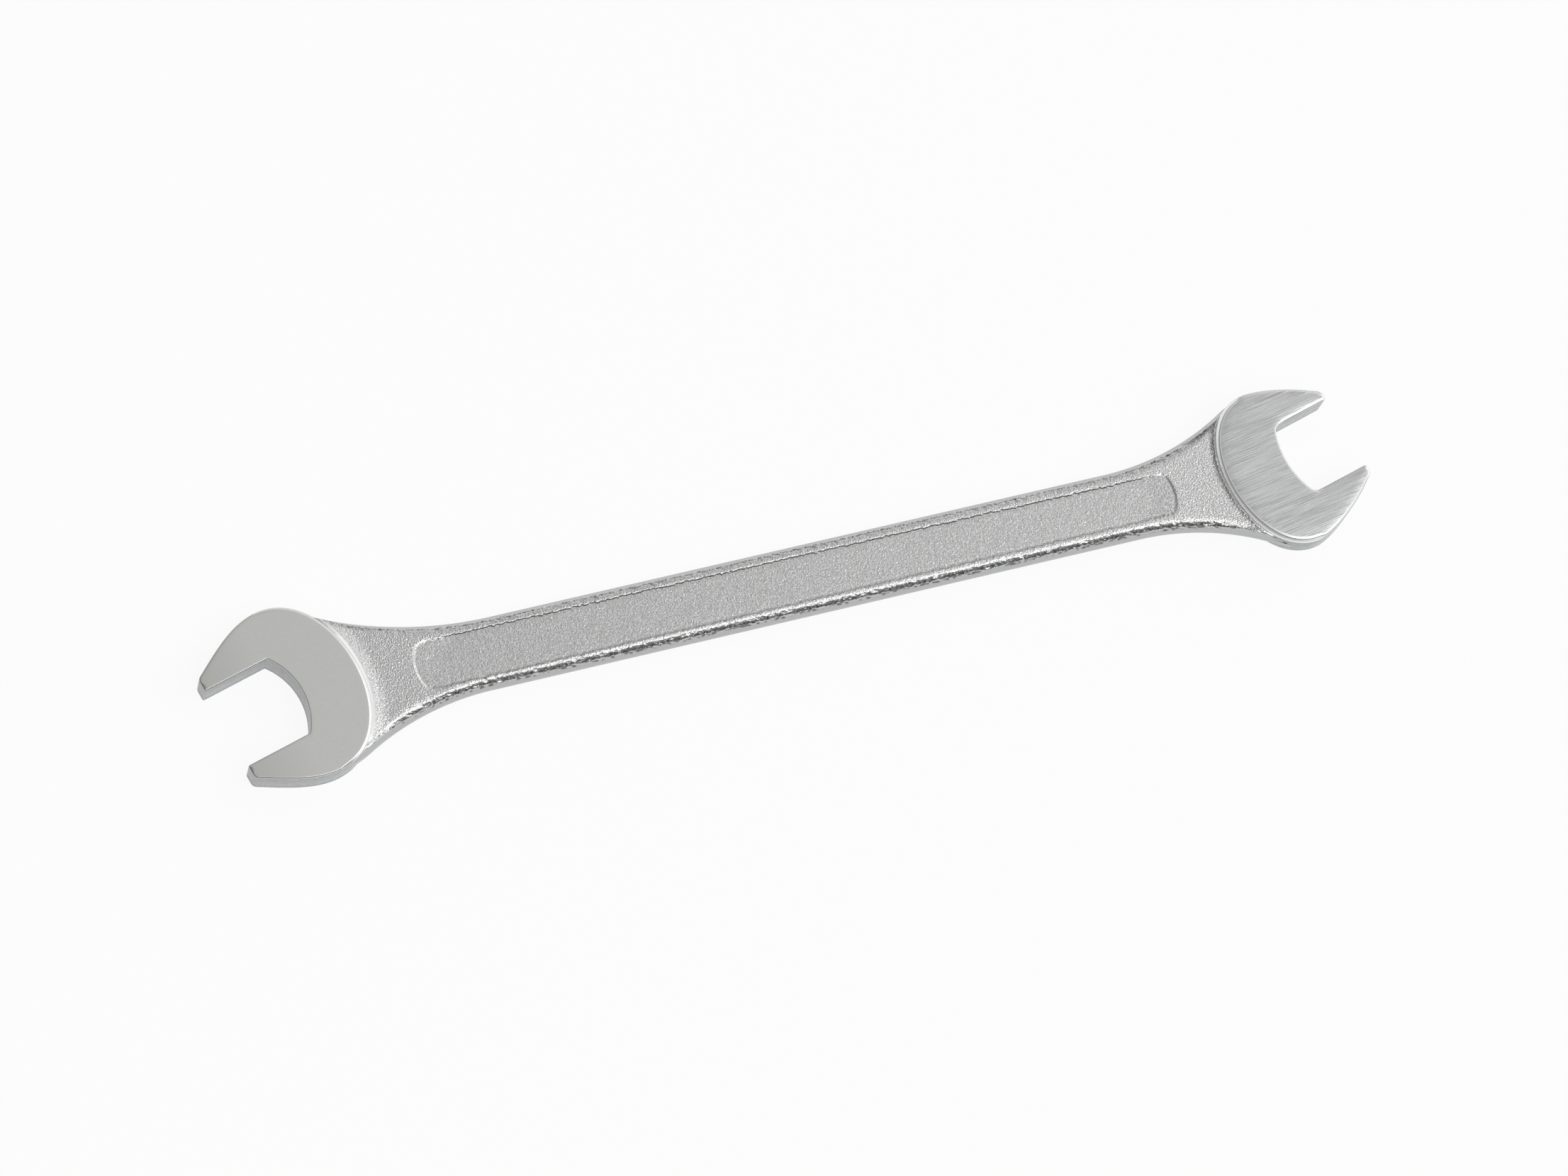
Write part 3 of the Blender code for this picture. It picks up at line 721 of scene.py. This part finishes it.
def panel_inset(points):
    """How far each point lies inside the panel's outline (negative outside) and from its ends."""
    sides = panel_half(points[:, 0], points[:, 1]) - np.abs(points[:, 1])
    ends = []
    for head in (LARGE, SMALL):
        x, heading = head["panel_end"], head["heading"]
        centre = np.array((x - heading * PANEL_END_RADIUS, 0.0))
        reach = PANEL_END_RADIUS - np.linalg.norm(points - centre, axis=1)
        far = PANEL_END_RADIUS + (centre[0] - points[:, 0]) * heading
        ends.append(np.where((points[:, 0] - centre[0]) * heading > 0, reach, far))
    ends = np.minimum(*ends)
    corner = PANEL_CORNER_RADIUS
    both = corner - np.sqrt(np.maximum(corner - sides, 0) ** 2 + np.maximum(corner - ends, 0) ** 2)
    return np.where((sides < corner) & (ends < corner), both, np.minimum(sides, ends)), ends


large_sides = side_line(LARGE)
small_sides = side_line(SMALL)
bar_sides = {s: np.concatenate([large_sides[s], small_sides[s][::-1]]) for s in (1, -1)}
ends = [boss_line(head, LINE_BLEND)[0, 0] for head in (LARGE, SMALL)]
lines = []
for head in (LARGE, SMALL):
    panel_away = abs(head["panel_end"] - head["centre"]) - head["back"]
    fine_from, fine_to = panel_away - FINE_ROWS_BEFORE, panel_away + FINE_ROWS_AFTER
    away = [-BAR_SINK]
    while away[-1] < LINE_BLEND - ROW_SPACING:
        fine = fine_from < away[-1] < fine_to
        away.append(away[-1] + (FINE_ROW_SPACING if fine else ROW_SPACING))
    curved = [boss_line(head, a) for a in away]
    if head is LARGE:
        high = np.abs(curved[-1][:, 1]).max()
        straight = np.arange(ends[0], ends[1] - ROW_SPACING / 2, ROW_SPACING)
        lines += curved + [np.array(((x, high), (x, -high))) for x in straight]
    else:
        lines += curved[::-1]

grid = []
for line in lines:
    above = line[line[:, 1] > 0]
    below = line[line[:, 1] <= 0]
    share = above[-1, 1] / (above[-1, 1] - below[0, 1])
    middle = above[-1] + (below[0] - above[-1]) * share
    upper = half_row(np.concatenate([[middle], above[::-1]]), bar_sides[1])
    lower = half_row(np.concatenate([[middle], below]), bar_sides[-1])
    grid.append(np.concatenate([upper[::-1], lower[1:]]))
grid = np.array(grid)
rows, columns = grid.shape[:2]
flat = grid.reshape(-1, 2)
inset = np.minimum(*[distance_to(flat, bar_sides[s], closed=False)[0] for s in (1, -1)])
inset.reshape(rows, columns)[:, (0, -1)] = 0.0


def side_height(share, top):
    """The ground side's height: upright at the land, then nearly straight up to the crease."""
    share = np.clip(share, 0.0, 1.0)
    curve = SIDE_STRAIGHTNESS * share + (1 - SIDE_STRAIGHTNESS) * np.sqrt(share)
    return SIDE_LAND + (top - SIDE_LAND) * curve


def bar_heights(points, inset, seed):
    """Half the bar's thickness at each point, how grained, edged and ground its skin is, and its painted
    crease shade.
    """
    jag = np.empty(len(points))
    peel = np.empty(len(points))
    for i, (x, y) in enumerate(points):
        place = Vector((x, y, seed))
        jag[i] = sum(noise.noise(place * scale) * share for scale, share in JAG_NOISE)
        peel[i] = sum(noise.noise(place * scale) * share for scale, share in PEEL_NOISE)
    gaps = []
    for head in (LARGE, SMALL):
        outline = head_outline(head)[0]
        gaps.append(np.where(inside(points, outline), 0.0, distance_to(points, outline)[0]))
    rough = np.clip((inset - JAG_FROM) / JAG_FADE, 0.0, 1.0)
    rough *= np.clip(np.minimum(*gaps) / JAG_HEAD_FADE, 0.0, 1.0)
    at = inset + jag * CREASE_JAG * rough
    crown = SHANK_THICKNESS / 2
    side = side_height(at / SIDE_INSET, SIDE_TOP)
    run = BREAK_INSET - SIDE_INSET
    share = (at - SIDE_INSET) / run
    steep, shallow = CREASE_SLOPES
    over = SIDE_TOP + run * (steep * share + (shallow - steep) * share**2 / 2)
    to_crown = np.clip((CROWN_INSET - at) / (CROWN_INSET - BREAK_INSET), 0.0, 1.0)
    rest = crown - (crown - BREAK_TOP) * to_crown**2
    height = np.where(at < SIDE_INSET, side, np.where(at < BREAK_INSET, over, rest))
    panel, from_end = panel_inset(points)
    sunk = np.clip(panel / PANEL_EDGE + 0.5, 0.0, 1.0)
    groove = np.exp(-(((panel - PANEL_GROOVE_INSET) / PANEL_GROOVE_WIDTH) ** 2))
    depth = PANEL_END_SHARE + (1 - PANEL_END_SHARE) * np.clip(from_end / PANEL_END_FADE, 0.0, 1.0)
    height -= (PANEL_DEPTH * sunk + PANEL_GROOVE * groove) * depth
    grain = np.clip((at - GRAIN_FROM) / MARK_FADE, 0.0, 1.0)
    calmed = np.clip(CREASE_CALM - CREASE_CALM * np.abs(at - CREASE_MIDDLE) / CREASE_REACH, 0.0, 1.0)
    calmed = np.maximum(calmed, np.clip(EDGE_CALM - np.abs(panel) / PANEL_EDGE * EDGE_CALM, 0.0, 1.0))
    edged = np.zeros(len(points))
    # Painted shade: the plate is coloured darker along the creases and the panel's edge.
    crease_painted_shade = np.clip(CREASE_DARK - np.abs(at - CREASE_MIDDLE) / CREASE_WIDTH, 0.0, 1.0)
    edge_line = np.clip(CREASE_DARK - np.abs(panel) / PANEL_EDGE * 2, 0.0, EDGE_DARKEST)
    crease_painted_shade = np.maximum(crease_painted_shade, edge_line * np.clip(from_end / PANEL_END_DARKENING, 0.0, 1.0))
    for head, away in zip((LARGE, SMALL), gaps):
        width, rise = head["fillet"]
        lift = np.clip(1 - (away + jag * head["fillet_jag"]) / width, 0.0, 1.0) ** 2 * rise
        ear_drop = head["rims"]["ear"] + head["bevels"]["ear"] * head["bevel_slope"] + head["rolls"]["ear"]
        goal = HEAD_THICKNESS / 2 - ear_drop - HEAD_CLEARANCE
        blend = np.clip(1 - away / SIDE_BLEND, 0.0, 1.0) ** 2
        side_part = np.clip((CROWN_INSET - at) / (CROWN_INSET - SIDE_INSET), 0.0, 1.0)
        raised = height + lift
        target = side_height(at / SIDE_INSET, goal)
        height = raised + (np.maximum(target, raised) - raised) * blend * side_part
        start, fade = head["grain_from"]
        grain *= np.clip((away - start) / fade, 0.0, 1.0)
        if head["fillet_jag"]:
            edged = np.clip(FILLET_CREASE_DARK - away / width, 0.0, 1.0)
            # The small fillet's root line is painted shade too.
            strayed = (away + jag * FILLET_CREASE_JAG) / FILLET_CREASE_WIDTH
            root_line = np.clip(FILLET_CREASE_DARK - strayed, 0.0, FILLET_CREASE_DARKEST)
            crease_painted_shade = np.maximum(crease_painted_shade, root_line)
    height += peel * PEEL_HEIGHT * grain * (1 - sunk * PEEL_PANEL_LOSS)
    fine = grain * (1 - calmed * SKIN_CREASE_LOSS) * (1 - sunk * SKIN_PANEL_LOSS)
    marks = {"grain": grain, "fine": fine, "edged": edged, "crease_painted_shade": crease_painted_shade}
    marks = {title: values * grain for title, values in marks.items()}
    marks["ground"] = np.clip((SIDE_INSET - at) / MARK_FADE, 0.0, 1.0)
    return height, marks


top, marks = bar_heights(flat, inset, UPPER_SEED)
bottom, marks_below = bar_heights(flat, inset, LOWER_SEED)
verts = np.concatenate([np.column_stack([flat, top]), np.column_stack([flat, -bottom])])
verts[:, 1:] += (SHANK_AXIS_Y, HEAD_THICKNESS / 2)
size = len(flat)
faces = []
for r in range(rows - 1):
    for c in range(columns - 1):
        a = r * columns + c
        b = a + columns
        faces.append((a, a + 1, b + 1, b))
        faces.append((b + size, b + 1 + size, a + 1 + size, a + size))
    for c, flip in ((0, False), (columns - 1, True)):
        a = r * columns + c
        b = a + columns
        side = (a, b, b + size, a + size)
        faces.append(side[::-1] if flip else side)
for r in (0, rows - 1):
    for c in range(columns - 1):
        a = r * columns + c
        side = (a, a + size, a + 1 + size, a + 1)
        faces.append(side if r == 0 else side[::-1])
mesh = bpy.data.meshes.new("forged_bar")
mesh.from_pydata(verts.tolist(), [], faces)
mesh.shade_smooth()
for title, above in marks.items():
    layer = mesh.attributes.new(title, "FLOAT", "POINT")
    values = np.concatenate([above, marks_below[title]])
    layer.data.foreach_set("value", values.astype(np.float32))
bar = bpy.data.objects.new("forged_bar", mesh)
bpy.context.collection.objects.link(bar)

forged_plate, tree, shader = plate("forged_plate", (0.71, 0.71, 0.705, 1.0), 0.22)
grain, amount, edged, crease_painted_shade, ground = (
    add(tree, "ShaderNodeAttribute", {"attribute_name": title}).outputs["Fac"]
    for title in ("grain", "fine", "edged", "crease_painted_shade", "ground")
)
shade = add(
    tree,
    "ShaderNodeGroup",
    {"node_tree": plate_shade},
    {"Light": (0.80, 0.80, 0.80, 1.0), "Dark": (0.52, 0.52, 0.515, 1.0), "Scale": 5200.0, "Mask": grain},
)
# Painted shade: a dark mottled colour laid into the creases, the panel's edge and the small fillet's root.
crease_shade_colour = add(
    tree,
    "ShaderNodeGroup",
    {"node_tree": plate_shade},
    {"Light": (0.66, 0.66, 0.655, 1.0), "Dark": (0.13, 0.13, 0.125, 1.0), "Scale": 3600.0},
)
crease_shade = add(
    tree,
    "ShaderNodeMix",
    {"data_type": "RGBA"},
    {0: crease_painted_shade, 6: shade.outputs["Color"], 7: crease_shade_colour.outputs["Color"]},
)
# Painted shade: the ground sides take a darker colour, for the shaded floor beside the bar that they
# mirror.
side_shade = add(
    tree,
    "ShaderNodeMix",
    {"data_type": "RGBA"},
    {0: ground, 6: crease_shade.outputs[2], 7: (0.56, 0.565, 0.57, 1.0)},
)
tree.links.new(side_shade.outputs[2], shader.inputs["Base Color"])
fine = add(
    tree,
    "ShaderNodeGroup",
    {"node_tree": skin},
    {"Scale": 5000.0, "Detail": 1.0, "Mask": amount},
)
coarse = add(tree, "ShaderNodeGroup", {"node_tree": skin}, {"Scale": 3400.0, "Detail": 2.0, "Mask": edged})
relief = add(
    tree,
    "ShaderNodeMath",
    {"operation": "ADD"},
    {0: coarse.outputs["Height"], 1: fine.outputs["Height"]},
)
bump_from(tree, shader, relief.outputs[0], SKIN_DEPTH)
fasten(bar, (forged_plate,))

# Floor
# A plain white board under the wrench. To the camera it's nearly white and keeps a faint shadow,
# the plate mirrors it at half that glow, and it lights the wrench from below like any white board.
FLOOR_SIZE = 4.0
FLOOR_GLOW_SHARE = 0.92
MIRRORED_GLOW_SHARE = 0.5
bpy.ops.mesh.primitive_plane_add(size=FLOOR_SIZE)
floor = bpy.context.object
floor.name = "floor"
white_board = bpy.data.materials.new("white_board")
white_board.use_nodes = True
tree = white_board.node_tree
tree.nodes.remove(tree.nodes["Principled BSDF"])
board = add(tree, "ShaderNodeBsdfDiffuse", None, {"Color": (0.9, 0.9, 0.9, 1.0)})
glow = add(tree, "ShaderNodeEmission", None, {"Color": (1.0, 1.0, 1.0, 1.0)})
path = add(tree, "ShaderNodeLightPath").outputs
mirrored = add(
    tree,
    "ShaderNodeMath",
    {"operation": "MAXIMUM"},
    {0: path["Is Glossy Ray"], 1: path["Is Transmission Ray"]},
)
seen, dimmed = (
    add(tree, "ShaderNodeMath", {"operation": "MULTIPLY"}, {0: ray, 1: glow_share}).outputs[0]
    for ray, glow_share in (
        (path["Is Camera Ray"], FLOOR_GLOW_SHARE),
        (mirrored.outputs[0], MIRRORED_GLOW_SHARE),
    )
)
share = add(tree, "ShaderNodeMath", {"operation": "MAXIMUM"}, {0: seen, 1: dimmed})
mix = add(tree, "ShaderNodeMixShader", None, {0: share.outputs[0], 1: board.outputs[0], 2: glow.outputs[0]})
tree.links.new(mix.outputs[0], tree.nodes["Material Output"].inputs["Surface"])
floor.data.materials.append(white_board)

# Light
# A bright ceiling panel in front of the wrench, a narrow strip behind it and a soft box to its
# right. The studio's walls go from dark on the left and in front to pale on the right, and a pale
# sweep closes them off where they meet the floor.
studio = bpy.data.worlds.new("studio")
bpy.context.scene.world = studio
studio.use_nodes = True
tree = studio.node_tree
sky = tree.nodes["Background"]
sky.inputs["Color"].default_value = (1.0, 1.0, 1.0, 1.0)
towards = add(tree, "ShaderNodeTexCoord").outputs["Generated"]
axes = add(tree, "ShaderNodeSeparateXYZ", None, {0: towards}).outputs


def wall_tone(axis, near, far, near_tone, far_tone):
    """The studio's tone, from one value to another over this range of directions along an axis."""
    smooth = {"interpolation_type": "SMOOTHSTEP"}
    ends = {"From Min": near, "From Max": far, "To Min": near_tone, "To Max": far_tone}
    return add(tree, "ShaderNodeMapRange", smooth, {"Value": axes[axis], **ends}).outputs[0]


WALL_BASE_TONE = 0.22
left_to_right = wall_tone("X", -0.6, 0.8, 0.0, 0.74)
front = wall_tone("Y", -0.68, -0.40, 0.0, 1.0)
rear = wall_tone("Y", 0.3, 0.75, 1.0, 0.65)
sweep = wall_tone("Z", 0.05, 0.16, 0.95, WALL_BASE_TONE)
both = add(tree, "ShaderNodeMath", {"operation": "MULTIPLY"}, {0: left_to_right, 1: front})
walls = add(tree, "ShaderNodeMath", {"operation": "MULTIPLY"}, {0: both.outputs[0], 1: rear})
strength = add(tree, "ShaderNodeMath", {"operation": "ADD"}, {0: walls.outputs[0], 1: sweep})
tree.links.new(strength.outputs[0], sky.inputs["Strength"])


BOX_DISTANCE = 1.5


def soft_box(name, azimuth, elevation, width, height, radiance):
    """A rectangular lamp that faces the wrench from this direction, this bright to look at."""
    lamp = bpy.data.lights.new(name, "AREA")
    lamp.shape = "RECTANGLE"
    lamp.size = width
    lamp.size_y = height
    lamp.energy = radiance * math.pi * width * height
    item = bpy.data.objects.new(name, lamp)
    bpy.context.collection.objects.link(item)
    turn, rise = math.radians(azimuth), math.radians(elevation)
    away = Vector((math.cos(rise) * math.cos(turn), math.cos(rise) * math.sin(turn), math.sin(rise)))
    item.location = away * BOX_DISTANCE
    item.rotation_euler = away.to_track_quat("Z", "Y").to_euler()


soft_box("ceiling_panel", azimuth=-60.0, elevation=62.0, width=1.3, height=0.90, radiance=1.5)
soft_box("rear_strip", azimuth=45.0, elevation=43.0, width=1.2, height=0.45, radiance=0.4)
soft_box("right_box", azimuth=-8.0, elevation=26.0, width=2.2, height=0.6, radiance=1.15)

# Camera
# It looks down on the wrench from the front left with a long lens, turned about its own axis so
# that the shank climbs to the right.
CAMERA_AZIMUTH = -129.8608
CAMERA_ELEVATION = 71.8476
CAMERA_ROLL = 25.3824
CAMERA_DISTANCE = 0.915935
CAMERA_AIM = (-0.001299, -0.000631, 0.00235)
CAMERA_LENS = 162.75
camera_data = bpy.data.cameras.new("camera")
camera_data.lens = CAMERA_LENS
camera_data.sensor_width = 36.0
camera = bpy.data.objects.new("camera", camera_data)
bpy.context.collection.objects.link(camera)
camera.matrix_world = (
    Matrix.Translation(CAMERA_AIM)
    @ Matrix.Rotation(math.radians(CAMERA_AZIMUTH + 90.0), 4, "Z")
    @ Matrix.Rotation(math.radians(90.0 - CAMERA_ELEVATION), 4, "X")
    @ Matrix.Rotation(math.radians(CAMERA_ROLL), 4, "Z")
    @ Matrix.Translation((0.0, 0.0, CAMERA_DISTANCE))
)
scene = bpy.context.scene
scene.camera = camera
scene.view_settings.view_transform = "Standard"

bpy.context.view_layer.update()
